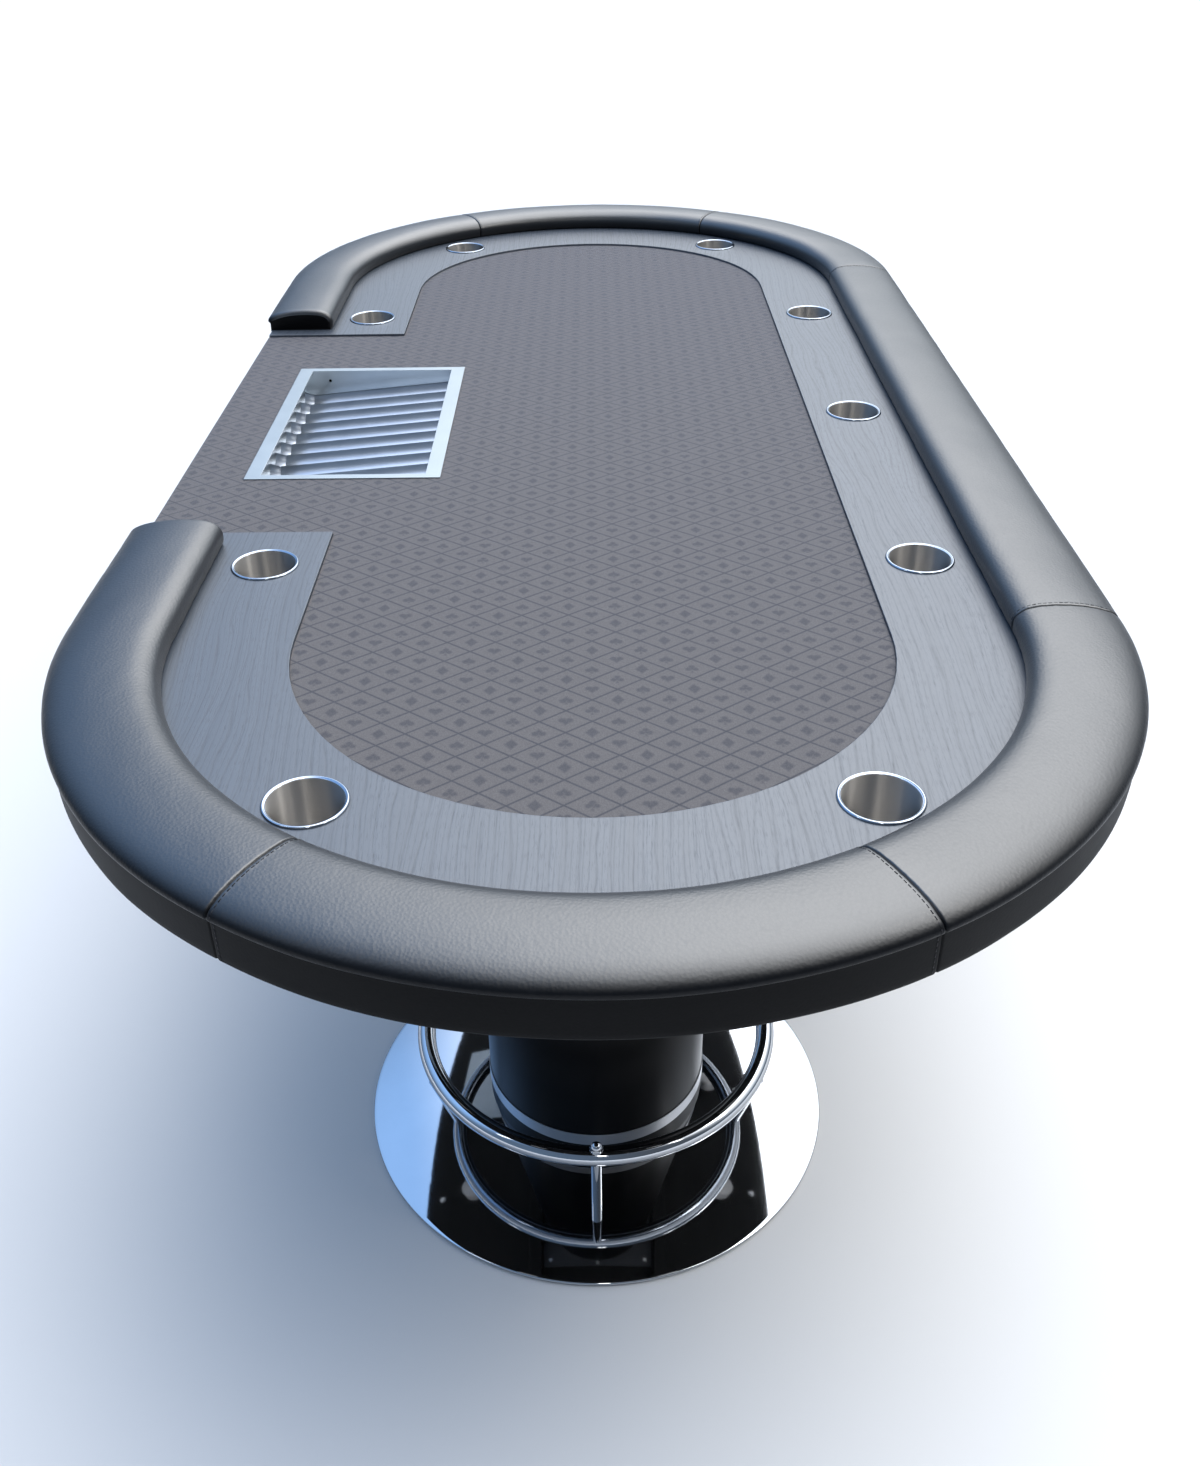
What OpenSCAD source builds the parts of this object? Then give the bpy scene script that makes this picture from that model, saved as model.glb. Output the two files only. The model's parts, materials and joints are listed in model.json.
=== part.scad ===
/* [Table outline] */
// Distance from the table's centre to the centre of each rounded end
end_y = 664; // [640:1:690]
// Outer radius of the padded armrest at its widest
rail_r = 557; // [552:1:562]
// Inner radius of the padded armrest
rail_in = 445; // [443:1:447]
// Inner radius of the timber racetrack, where the cloth begins
track_in = 319; // [312:1:322]
// Half width of the dealer's gap in the racetrack
gap_track = 394; // [388:1:398]
// Half width of the dealer's gap in the armrest
gap_rail = 422; // [418:1:430]

/* [Heights] */
// Height of the racetrack's top face above the floor
top_z = 762; // [740:1:780]
// Thickness of the structural deck
deck_t = 18; // [16:1:20]
// Thickness of the racetrack board
track_t = 12; // [11:1:13]
// Height of the armrest's crown above the racetrack
crown_h = 34; // [32:1:38]
// Thickness of the armrest's plywood base ring
rail_base_t = 14; // [12:1:15]

/* [Cup holders] */
// Outer radius of the cup flange
cup_flange_r = 40; // [39:0.5:41]
// Inside radius of the cup
cup_in_r = 35.5; // [34.5:0.5:36]
// Wall thickness of the cup
cup_wall = 0.9; // [0.7:0.1:1.1]
// Depth of the cup below its flange
cup_depth = 74; // [66:1:80]

/* [Chip tray] */
// Number of chip troughs
troughs = 10; // [10:1:10]
// Spacing of the chip troughs
trough_pitch = 41.9; // [41.7:0.1:42]
// Radius of a trough, for chips of 39 to 40 mm
trough_r = 20.8; // [20.5:0.1:20.9]
// Depth of a trough below its ridges
trough_d = 15; // [12:1:16]
// Depth of the ridges below the racetrack at the players' side
ridge_hi = 22; // [20:1:24]
// Depth of the ridges below the racetrack at the dealer's side
ridge_lo = 42; // [38:1:44]

/* [Pedestals] */
// Distance of each pedestal from the table's centre
ped_y = 610; // [590:1:640]
// Radius of the floor disc
disc_r = 310; // [300:1:320]
// Height of the floor disc's dome at its centre
dome_h = 42; // [38:1:46]
// Radius of the column
col_r = 145; // [140:1:150]
// Mean radius of the foot ring
ring_r = 227; // [220:1:232]
// Height of the foot ring's centre line
ring_z = 138; // [130:1:150]
// Radius of the foot ring's tube
ring_tube_r = 12; // [11:0.5:13]
// Radius of a foot ring post
post_r = 7; // [6.5:0.5:7.5]

/* [Hidden] */
$fn = 64;
// radial stack at the table's edge
deck_r = 551;
skirt_r = 554;
skin = 1.5;
// vertical stack
track_z = top_z - track_t;
deck_z = track_z - deck_t;
pad_t = 7;
cloth_t = 1.4;
cloth_z = track_z + pad_t;
skirt_bot = deck_z - 1;
base_top = top_z + rail_base_t;
// chip tray outline
tray_x0 = -466; tray_x1 = -202; tray_y = 223.5;
pocket_x0 = -463.5; pocket_x1 = -207; pocket_y = 212.5;
open_x0 = -445; open_x1 = -223; open_y = 211;
rim_z = cloth_z + cloth_t;
rim_t = 1.8;
kink_x = -447;
slope_deg = atan((ridge_lo - ridge_hi) / (abs(kink_x) - 229));
// cup centres
cup_ex = 256; cup_ey = 958; cup_sx = 385; cup_sy = 485;
CUPS = [[-cup_ex, cup_ey], [cup_ex, cup_ey], [-cup_sx, cup_sy], [cup_sx, cup_sy], [cup_sx, 0],
        [cup_sx, -cup_sy], [-cup_sx, -cup_sy], [cup_ex, -cup_ey], [-cup_ex, -cup_ey]];
cup_hole_r = cup_in_r + cup_wall + 1;
// armrest bolts: along both sides and round both ends
bolt_r = 498;
BOLTS = concat([for (y = [-480, 0, 480]) [bolt_r, y]],
               [for (y = [-500, 500]) [-bolt_r, y]],
               [for (s = [-1, 1], a = [20, 70, 110, 160]) [bolt_r * cos(a), s * (end_y + bolt_r * sin(a))]]);
// seams of the armrest cover
seam_a = 32;
// dome
dome_e = 5;
dome_R = (disc_r * disc_r + (dome_h - dome_e) * (dome_h - dome_e)) / (2 * (dome_h - dome_e));
function dome_z(r) = dome_h - (dome_R - sqrt(dome_R * dome_R - r * r));
plate_z = deck_z - 8;
PLATE_SCREWS = concat([for (x = [-140, 140], y = [-140, 140]) [x, y]], [for (a = [0 : 90 : 270]) [152 * cos(a), 152 * sin(a)]]);

// ---- outlines
module stadium(r) {
    for (s = [-1, 1]) translate([0, s * end_y]) circle(r);
    square([2 * r, 2 * end_y], center = true);
}
module cup_holes() { for (c = CUPS) translate(c) circle(cup_hole_r, $fn = 48); }
module bolt_holes(r) { for (b = BOLTS) translate(b) circle(r, $fn = 24); }
module tray_hole() {
    translate([pocket_x0 - 1, -pocket_y - 1.5]) square([pocket_x1 - pocket_x0 + 2, 2 * pocket_y + 3]);
}

// ---- table top
module deck() color("burlywood") translate([0, 0, deck_z]) difference() {
    linear_extrude(deck_t) difference() {
        stadium(deck_r);
        cup_holes();
        bolt_holes(4.3);
        tray_hole();
    }
    for (s = [-1, 1], p = PLATE_SCREWS) translate([p[0], s * ped_y + p[1], -1]) cylinder(r = 2.6, h = 15, $fn = 24);
}
module play_outline(inset) difference() {
    union() {
        stadium(track_in - inset);
        translate([-deck_r, -(gap_track - inset)]) square([deck_r, 2 * (gap_track - inset)]);
    }
    tray_hole();
}
module playing_pad() color("dimgray") translate([0, 0, track_z]) linear_extrude(pad_t) play_outline(0.4);
module speed_cloth() color([0.33, 0.32, 0.33]) {
    translate([0, 0, cloth_z]) linear_extrude(cloth_t) play_outline(0.4);
    // hem turned down over the dealer's edge
    translate([-deck_r - cloth_t, -(gap_track - 0.4), deck_z]) cube([cloth_t, 2 * (gap_track - 0.4), cloth_z + cloth_t - deck_z]);
}
module racetrack() color([0.2, 0.25, 0.32]) translate([0, 0, track_z]) linear_extrude(track_t) difference() {
    stadium(deck_r);
    stadium(track_in);
    translate([-deck_r - 10, -gap_track]) square([deck_r, 2 * gap_track]);
    cup_holes();
    bolt_holes(4.3);
}

// ---- armrest
// section of the padded armrest: x is the radius, y the height above the racetrack; t insets it by a skin
module pad_section(t) {
    r = 20 - t;
    intersection() {
        union() {
            translate([rail_in + 20, crown_h - 20]) circle(r);
            translate([rail_r - 20, crown_h - 20]) circle(r);
            translate([rail_in + 20, 0]) square([rail_r - rail_in - 40, crown_h - t]);
            translate([rail_in + t, 0]) square([20, crown_h - 20]);
        }
        translate([rail_in, 0]) square([rail_r - rail_in, crown_h]);
    }
}
module cover_section() {
    difference() {
        pad_section(0);
        pad_section(skin);
        translate([rail_in + 20, -1]) square([rail_r - rail_in, crown_h - 20 + 1]);
    }
    // fold under the bulge and the skirt
    translate([skirt_r - skin, crown_h - 20 - skin]) square([rail_r - skirt_r + skin, skin]);
    translate([skirt_r - skin, skirt_bot - top_z]) square([skin, crown_h - 20 - skirt_bot + top_z]);
}
module foam_section() difference() {
    pad_section(skin + 0.2);
    translate([rail_in + 5, -1]) square([rail_r - rail_in, rail_base_t + 1]);
}
module base_section() translate([rail_in + 5, 0]) square([skirt_r - skin - 1 - rail_in - 5, rail_base_t]);
// arc of a section round an end; a0 and a1 are degrees from the X axis, s picks the end
module arc(a0, a1, s) translate([0, s * end_y, top_z]) rotate([0, 0, a0]) rotate_extrude(angle = a1 - a0, $fn = 96) children();
module side(y0, y1, s) translate([0, 0, top_z]) {
    if (s > 0) translate([0, y1, 0]) rotate([90, 0, 0]) linear_extrude(y1 - y0) children();
    else mirror([1, 0, 0]) translate([0, y1, 0]) rotate([90, 0, 0]) linear_extrude(y1 - y0) children();
}
module whole_rail() {
    arc(0, 180, 1) children();
    arc(180, 360, -1) children();
    side(-end_y, end_y, 1) children();
    side(-end_y, -gap_rail, -1) children();
    side(gap_rail, end_y, -1) children();
}
module rail_base() color("peru") difference() {
    whole_rail() base_section();
    for (b = BOLTS) translate([b[0], b[1], top_z - 1]) cylinder(r = 4.2, h = rail_base_t - 1, $fn = 24);
}
// the padding is five glued lengths, butted at the ends' middles and where the straights begin
module rail_foam_near_right() color("khaki") arc(270, 360, -1) foam_section();
module rail_foam_far_right() color("khaki") arc(0, 90, 1) foam_section();
module rail_foam_long_side() color("khaki") side(-end_y, end_y, 1) foam_section();
module rail_foam_near_left() color("khaki") {
    arc(180, 270, -1) foam_section();
    side(-end_y, -gap_rail, -1) foam_section();
}
module rail_foam_far_left() color("khaki") {
    arc(90, 180, 1) foam_section();
    side(gap_rail, end_y, -1) foam_section();
}
module rail_cover_far_end() color([0.07, 0.07, 0.08]) arc(90 - seam_a, 90 + seam_a, 1) cover_section();
module rail_cover_near_end() color([0.07, 0.07, 0.08]) arc(270 - seam_a, 270 + seam_a, -1) cover_section();
module rail_cover_far_right() color([0.08, 0.08, 0.09]) arc(0, 90 - seam_a, 1) cover_section();
module rail_cover_near_right() color([0.08, 0.08, 0.09]) arc(270 + seam_a, 360, -1) cover_section();
module rail_cover_long_side() color([0.07, 0.07, 0.08]) side(-end_y, end_y, 1) cover_section();
module rail_end_cap(y) translate([0, y, top_z]) mirror([1, 0, 0]) translate([0, skin / 2, 0]) rotate([90, 0, 0]) linear_extrude(skin) pad_section(0);
module rail_cover_far_left() color([0.08, 0.08, 0.09]) {
    arc(90 + seam_a, 180, 1) cover_section();
    side(gap_rail - 0.3, end_y, -1) cover_section();
    rail_end_cap(gap_rail - skin / 2);
}
module rail_cover_near_left() color([0.08, 0.08, 0.09]) {
    arc(180, 270 - seam_a, -1) cover_section();
    side(-end_y, -gap_rail + 0.3, -1) cover_section();
    rail_end_cap(-gap_rail + skin / 2);
}
module rail_bolts() color("silver") for (b = BOLTS) translate([b[0], b[1], 0]) {
    translate([0, 0, deck_z - 1.6]) cylinder(r = 9, h = 1.6, $fn = 32);
    translate([0, 0, deck_z - 7.1]) cylinder(r = 7.5, h = 5.5, $fn = 6);
    translate([0, 0, deck_z - 1.6]) cylinder(r = 4, h = deck_t + track_t + 12, $fn = 24);
}
module stringers() color("burlywood") for (s = [-1, 1])
    translate([s * 181 - 19, -860, deck_z - 45]) cube([38, 1720, 45]);

// ---- cup holders
module cup(i) color("silver") translate([CUPS[i][0], CUPS[i][1], top_z]) rotate_extrude($fn = 64) {
    ro = cup_in_r + cup_wall;
    c = 9;
    difference() {
        union() {
            translate([0, -cup_depth + c]) square([ro, cup_depth - c + 1.2]);
            translate([0, -cup_depth]) square([ro - c, c]);
            translate([ro - c, -cup_depth + c]) circle(c);
            translate([ro - 1, 0]) square([cup_flange_r - ro + 1 - 0.8, 1.6]);
            translate([cup_flange_r - 0.8, 0.8]) circle(0.8);
        }
        translate([-1, -cup_depth + c]) square([cup_in_r + 1, cup_depth]);
        translate([-1, -cup_depth + cup_wall]) square([ro - c + 1, c]);
        translate([ro - c, -cup_depth + c]) circle(c - cup_wall);
        translate([-50, -100]) square([50, 200]);
    }
}

// ---- chip tray
module slope(x0, z0, deg) translate([x0, 0, z0]) rotate([0, -deg, 0]) children();
module tray_frame() color("gainsboro") {
    // rim lying on the cloth
    translate([0, 0, rim_z]) linear_extrude(rim_t) difference() {
        translate([tray_x0, -tray_y]) square([tray_x1 - tray_x0, 2 * tray_y]);
        translate([open_x0, -open_y]) square([open_x1 - open_x0, 2 * open_y]);
    }
    // pocket walls and floor
    difference() {
        translate([pocket_x0, -pocket_y, top_z - 66]) cube([pocket_x1 - pocket_x0, 2 * pocket_y, rim_z - top_z + 66]);
        translate([pocket_x0 + 1.5, -pocket_y + 1.5, top_z - 64.5]) cube([pocket_x1 - pocket_x0 - 3, 2 * pocket_y - 3, 80]);
        for (s = [-1, 1]) translate([-419, s * (pocket_y - 5), top_z - 18]) rotate([90, 0, 0]) cylinder(r = 2.4, h = 20, center = true, $fn = 24);
        for (y = [-190, 190]) translate([-440, y, top_z - 70]) cylinder(r = 1.7, h = 10, $fn = 24);
    }
}
rack_y = 2 * (pocket_y - 1.6);
module trough_cuts(x0, x1) for (i = [0 : troughs - 1])
    translate([x0, (i - (troughs - 1) / 2) * trough_pitch, trough_r - trough_d]) rotate([0, 90, 0]) cylinder(r = trough_r, h = x1 - x0, $fn = 64);
module tray_rack() color("gainsboro") difference() {
    intersection() {
        slope(kink_x, top_z - ridge_lo, slope_deg) difference() {
            translate([-5, -rack_y / 2, -19]) cube([270, rack_y, 19]);
            trough_cuts(-10, 280);
        }
        translate([kink_x, -300, top_z - 64.4]) cube([pocket_x1 - 1.6 - kink_x, 600, 64]);
    }
    for (y = [-190, 190]) translate([-440, y, top_z - 80]) cylinder(r = 1.7, h = 22, $fn = 24);
}
module tray_end_rack() color("gainsboro") intersection() {
    slope(kink_x - 0.4, top_z - ridge_lo + 0.5, -14) difference() {
        translate([-40, -rack_y / 2, -19]) cube([45, rack_y, 19]);
        trough_cuts(-60, 20);
    }
    translate([pocket_x0 + 1.6, -300, top_z - 64.4]) cube([kink_x - 0.4 - pocket_x0 - 1.6, 600, 64]);
}
module tray_rivets() color("silver") for (y = [-190, 190]) translate([-440, y, 0]) {
    translate([0, 0, top_z - 67.5]) cylinder(r = 3, h = 1.5, $fn = 32);
    translate([0, 0, top_z - 66]) cylinder(r = 1.6, h = 7, $fn = 24);
}

// ---- pedestals
module at(s) translate([0, s * ped_y, 0]) children();
module post_spots(r, z0, h) for (a = [0 : 90 : 270]) rotate([0, 0, a]) translate([ring_r, 0, z0]) cylinder(r = r, h = h, $fn = 32);
module base_pad(s) color([0.1, 0.1, 0.1]) at(s) rotate_extrude($fn = 96) translate([240, 0]) square([disc_r - 3 - 240, 2]);
module base_ballast(s) color([0.3, 0.3, 0.32]) at(s) difference() {
    rotate_extrude($fn = 96) difference() {
        union() {
            translate([0, 2]) square([disc_r - 25, 6]);
            translate([0, 2]) square([215, 16]);
            translate([0, 2]) square([60, 28]);
        }
        translate([0, 1]) square([18, 12]);
        square([8.3, 60]);
    }
    post_spots(post_r + 0.1, 5, 40);
}
module base_disc(s) color([0.8, 0.82, 0.85]) at(s) difference() {
    rotate_extrude($fn = 96) difference() {
        intersection() {
            translate([0, dome_h - dome_R]) circle(dome_R, $fn = 720);
            translate([0, 2]) square([disc_r, 60]);
        }
        intersection() {
            translate([0, dome_h - dome_R]) circle(dome_R - 2, $fn = 720);
            translate([0, 0]) square([disc_r - 2, 60]);
        }
        translate([-1, 0]) square([col_r - 10 + 1, 80]);
    }
    post_spots(post_r + 0.1, 5, 40);
}
module column(s) color([0.06, 0.06, 0.06]) at(s) rotate_extrude($fn = 96)
    translate([col_r - 3, dome_z(col_r - 3)]) square([3, plate_z - dome_z(col_r - 3)]);
module column_band(s) color("silver") at(s) rotate_extrude($fn = 96) translate([col_r + 0.05, 61]) square([1, 19]);
module top_plate(s) color([0.12, 0.12, 0.12]) at(s) difference() {
    union() {
        translate([-160, -160, plate_z]) cube([320, 320, 8]);
        translate([0, 0, plate_z - 20]) cylinder(r = 20, h = 21, $fn = 48);
        rotate_extrude($fn = 96) translate([col_r - 7, plate_z - 12]) square([3.5, 13]);
    }
    translate([0, 0, plate_z - 21]) cylinder(r = 8.05, h = 18, $fn = 32);
    for (p = PLATE_SCREWS) translate([p[0], p[1], plate_z - 1]) cylinder(r = 3, h = 10, $fn = 24);
}
module tie_rod(s) color("silver") at(s) translate([0, 0, 5]) cylinder(r = 8, h = plate_z - 5 - 4, $fn = 32);
module tie_nut(s) color("silver") at(s) difference() {
    union() {
        translate([0, 0, 3.2]) cylinder(r = 13.9, h = 8, $fn = 6);
        translate([0, 0, 11.2]) cylinder(r = 16, h = 1.8, $fn = 32);
    }
    cylinder(r = 8.05, h = 20, $fn = 32);
}
module foot_ring(s) color([0.8, 0.82, 0.85]) at(s) difference() {
    translate([0, 0, ring_z]) rotate_extrude($fn = 96) translate([ring_r, 0]) circle(ring_tube_r, $fn = 48);
    post_spots(post_r + 0.1, ring_z - 30, 60);
}
module foot_posts(s) color([0.8, 0.82, 0.85]) at(s) post_spots(post_r, 5, ring_z + ring_tube_r - 5);
module acorn_nuts(s) color([0.8, 0.82, 0.85]) at(s) for (a = [0 : 90 : 270]) rotate([0, 0, a]) translate([ring_r, 0, ring_z + ring_tube_r]) {
    cylinder(r = 7.6, h = 1.4, $fn = 32);
    translate([0, 0, 1.4]) cylinder(r = 7, h = 4.6, $fn = 6);
    translate([0, 0, 6]) intersection() { sphere(5.8, $fn = 32); cylinder(r = 6, h = 6, $fn = 32); }
}
module plate_screws() color("silver") for (s = [-1, 1], p = PLATE_SCREWS) translate([p[0], s * ped_y + p[1], 0]) {
    translate([0, 0, plate_z - 3]) cylinder(r = 5, h = 3, $fn = 32);
    translate([0, 0, plate_z - 1]) cylinder(r = 2.5, h = 22, $fn = 24);
}

deck();
playing_pad();
speed_cloth();
racetrack();
rail_base();
rail_foam_near_right();
rail_foam_near_left();
rail_foam_far_right();
rail_foam_far_left();
rail_foam_long_side();
rail_cover_near_end();
rail_cover_far_end();
rail_cover_near_right();
rail_cover_far_right();
rail_cover_long_side();
rail_cover_near_left();
rail_cover_far_left();
rail_bolts();
stringers();
cup(0);  // cup_far_left
cup(1);  // cup_far_right
cup(2);  // cup_dealer_far
cup(3);  // cup_right_far
cup(4);  // cup_right_mid
cup(5);  // cup_right_near
cup(6);  // cup_dealer_near
cup(7);  // cup_near_right
cup(8);  // cup_near_left
tray_frame();
tray_rack();
tray_end_rack();
tray_rivets();
base_pad(-1);  // base_pad_near
base_ballast(-1);  // base_ballast_near
base_disc(-1);  // base_disc_near
column(-1);  // column_near
column_band(-1);  // column_band_near
top_plate(-1);  // top_plate_near
tie_rod(-1);  // tie_rod_near
tie_nut(-1);  // tie_nut_near
foot_ring(-1);  // foot_ring_near
foot_posts(-1);  // foot_posts_near
acorn_nuts(-1);  // acorn_nuts_near
base_pad(1);  // base_pad_far
base_ballast(1);  // base_ballast_far
base_disc(1);  // base_disc_far
column(1);  // column_far
column_band(1);  // column_band_far
top_plate(1);  // top_plate_far
tie_rod(1);  // tie_rod_far
tie_nut(1);  // tie_nut_far
foot_ring(1);  // foot_ring_far
foot_posts(1);  // foot_posts_far
acorn_nuts(1);  // acorn_nuts_far
plate_screws();
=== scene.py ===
import json
import math

import bpy
import bmesh
from mathutils import Matrix, Vector, noise
from mathutils.geometry import delaunay_2d_cdt


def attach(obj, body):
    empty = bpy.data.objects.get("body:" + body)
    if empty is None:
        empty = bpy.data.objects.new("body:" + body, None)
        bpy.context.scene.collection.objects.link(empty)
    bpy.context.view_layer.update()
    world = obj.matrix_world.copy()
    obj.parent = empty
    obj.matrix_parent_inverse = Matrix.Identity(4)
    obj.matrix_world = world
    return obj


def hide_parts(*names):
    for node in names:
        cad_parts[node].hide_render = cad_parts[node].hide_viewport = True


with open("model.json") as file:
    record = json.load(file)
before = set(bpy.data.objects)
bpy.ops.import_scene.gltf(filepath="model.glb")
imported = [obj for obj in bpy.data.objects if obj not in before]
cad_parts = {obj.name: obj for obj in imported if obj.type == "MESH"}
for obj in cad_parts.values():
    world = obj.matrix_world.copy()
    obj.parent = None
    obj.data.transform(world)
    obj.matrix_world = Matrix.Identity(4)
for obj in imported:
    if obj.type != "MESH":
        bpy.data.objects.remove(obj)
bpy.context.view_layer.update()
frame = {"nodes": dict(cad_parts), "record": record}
NODES = frame["nodes"]
SLOT = {s["node"]: s["material_slot"] for s in frame["record"]["subparts"]}

# ---------------------------------------------------------------- sizes, metres
END_Y = 0.664      # centres of the rounded ends
TOP = 0.762        # racetrack's top face
GAP_RAIL = 0.422   # armrest ends at the dealer's gap
GAP_TRACK = 0.394
TRACK_IN = 0.319
DECK_X = 0.551
CUPS = {"far_left": (-.256, .958), "far_right": (.256, .958), "dealer_far": (-.385, .485),
        "right_far": (.385, .485), "right_mid": (.385, 0), "right_near": (.385, -.485),
        "dealer_near": (-.385, -.485), "near_right": (.256, -.958), "near_left": (-.256, -.958)}
PED_Y = 0.610


# ---------------------------------------------------------------- mesh helpers
def make(name, verts, faces, smooth=True, mats=(), face_mats=None, body="table", slot=None):
    me = bpy.data.meshes.new(name)
    me.from_pydata([tuple(v) for v in verts], [], faces)
    me.update()
    o = bpy.data.objects.new(name, me)
    bpy.context.scene.collection.objects.link(o)
    for m in mats:
        me.materials.append(m)
    if smooth:
        me.polygons.foreach_set("use_smooth", [True] * len(me.polygons))
    if face_mats:
        me.polygons.foreach_set("material_index", face_mats)
    bm = bmesh.new()
    bm.from_mesh(me)
    bmesh.ops.recalc_face_normals(bm, faces=bm.faces)
    bm.to_mesh(me)
    bm.free()
    me.update()
    if body:
        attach(o, body)
    return o


def sharp(o, angle=35):
    """Smooth shading with the edges over this angle kept crisp."""
    o.data.set_sharp_from_angle(angle=math.radians(angle))


def attribute(o, name, values):
    a = o.data.attributes.new(name, "FLOAT", "POINT")
    a.data.foreach_set("value", values)


def lathe(name, profile, centre, segs=128, closed=True, **kw):
    """Turns a profile of (r, z) about a vertical axis through centre (x, y, z)."""
    verts, faces = [], []
    n = len(profile)
    for k in range(segs):
        a = 2 * math.pi * k / segs
        ca, sa = math.cos(a), math.sin(a)
        for r, z in profile:
            verts.append((centre[0] + r * ca, centre[1] + r * sa, centre[2] + z))
    last = n if closed else n - 1
    for k in range(segs):
        b, c = k * n, (k + 1) % segs * n
        for i in range(last):
            j = (i + 1) % n
            faces.append((b + i, c + i, c + j, b + j))
    o = make(name, verts, faces, **kw)
    bm = bmesh.new()
    bm.from_mesh(o.data)
    bmesh.ops.remove_doubles(bm, verts=bm.verts, dist=1e-7)
    bmesh.ops.recalc_face_normals(bm, faces=bm.faces)
    bm.to_mesh(o.data)
    bm.free()
    o.data.polygons.foreach_set("use_smooth", [True] * len(o.data.polygons))
    return o


def bez(p0, c0, c1, p1, n):
    out = []
    for k in range(n):
        t = k / n
        u = 1 - t
        out.append(tuple(u**3 * a + 3 * u * u * t * b + 3 * u * t * t * c + t**3 * d
                         for a, b, c, d in zip(p0, c0, c1, p1)))
    return out


def fillet(p, q, r_at, rad, n=6):
    """Points of an arc of radius rad that rounds the corner at r_at between p and q."""
    a = Vector(p) - Vector(r_at)
    b = Vector(q) - Vector(r_at)
    ang = a.angle(b)
    t = rad / math.tan(ang / 2)
    s, e = Vector(r_at) + a.normalized() * t, Vector(r_at) + b.normalized() * t
    out = []
    for k in range(n + 1):
        w = k / n
        m = (s * (1 - w) + e * w)
        c = Vector(r_at)
        out.append(tuple(m * (1 - 2 * w * (1 - w)) + c * (2 * w * (1 - w))))
    return out


# ---------------------------------------------------------------- node helper
class X:
    """A number flowing through shader nodes, with ordinary arithmetic."""

    def __init__(self, tree, v):
        self.t, self.v = tree, v

    def _m(self, op, *others, clamp=False):
        n = self.t.nodes.new("ShaderNodeMath")
        n.operation = op
        n.use_clamp = clamp
        for i, o in enumerate((self,) + others):
            if isinstance(o, X):
                if isinstance(o.v, (int, float)):
                    n.inputs[i].default_value = o.v
                else:
                    self.t.links.new(o.v, n.inputs[i])
            else:
                n.inputs[i].default_value = o
        return X(self.t, n.outputs[0])

    def __add__(self, o): return self._m("ADD", o)
    def __radd__(self, o): return self._m("ADD", o)
    def __sub__(self, o): return self._m("SUBTRACT", o)
    def __rsub__(self, o): return X(self.t, float(o))._m("SUBTRACT", self)
    def __mul__(self, o): return self._m("MULTIPLY", o)
    def __rmul__(self, o): return self._m("MULTIPLY", o)
    def __truediv__(self, o): return self._m("DIVIDE", o)
    def __neg__(self): return self._m("MULTIPLY", -1.0)
    def abs(self): return self._m("ABSOLUTE")
    def floor(self): return self._m("FLOOR")
    def fract(self): return self._m("FRACT")
    def sqrt(self): return self._m("SQRT")
    def sin(self): return self._m("SINE")
    def min(self, o): return self._m("MINIMUM", o)
    def max(self, o): return self._m("MAXIMUM", o)
    def mod(self, k): return self._m("FLOORED_MODULO", k)
    def gt(self, o): return self._m("GREATER_THAN", o)
    def lt(self, o): return self._m("LESS_THAN", o)
    def pow(self, o): return self._m("POWER", o)
    def clamp(self): return self._m("ADD", 0.0, clamp=True)

    def step(self, edge, soft):
        """1 below edge, 0 above, soft on both sides."""
        return ((self * -1.0 + edge) / (2 * soft) + 0.5).clamp()


def hyp(a, b):
    return (a * a + b * b).sqrt()


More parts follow.
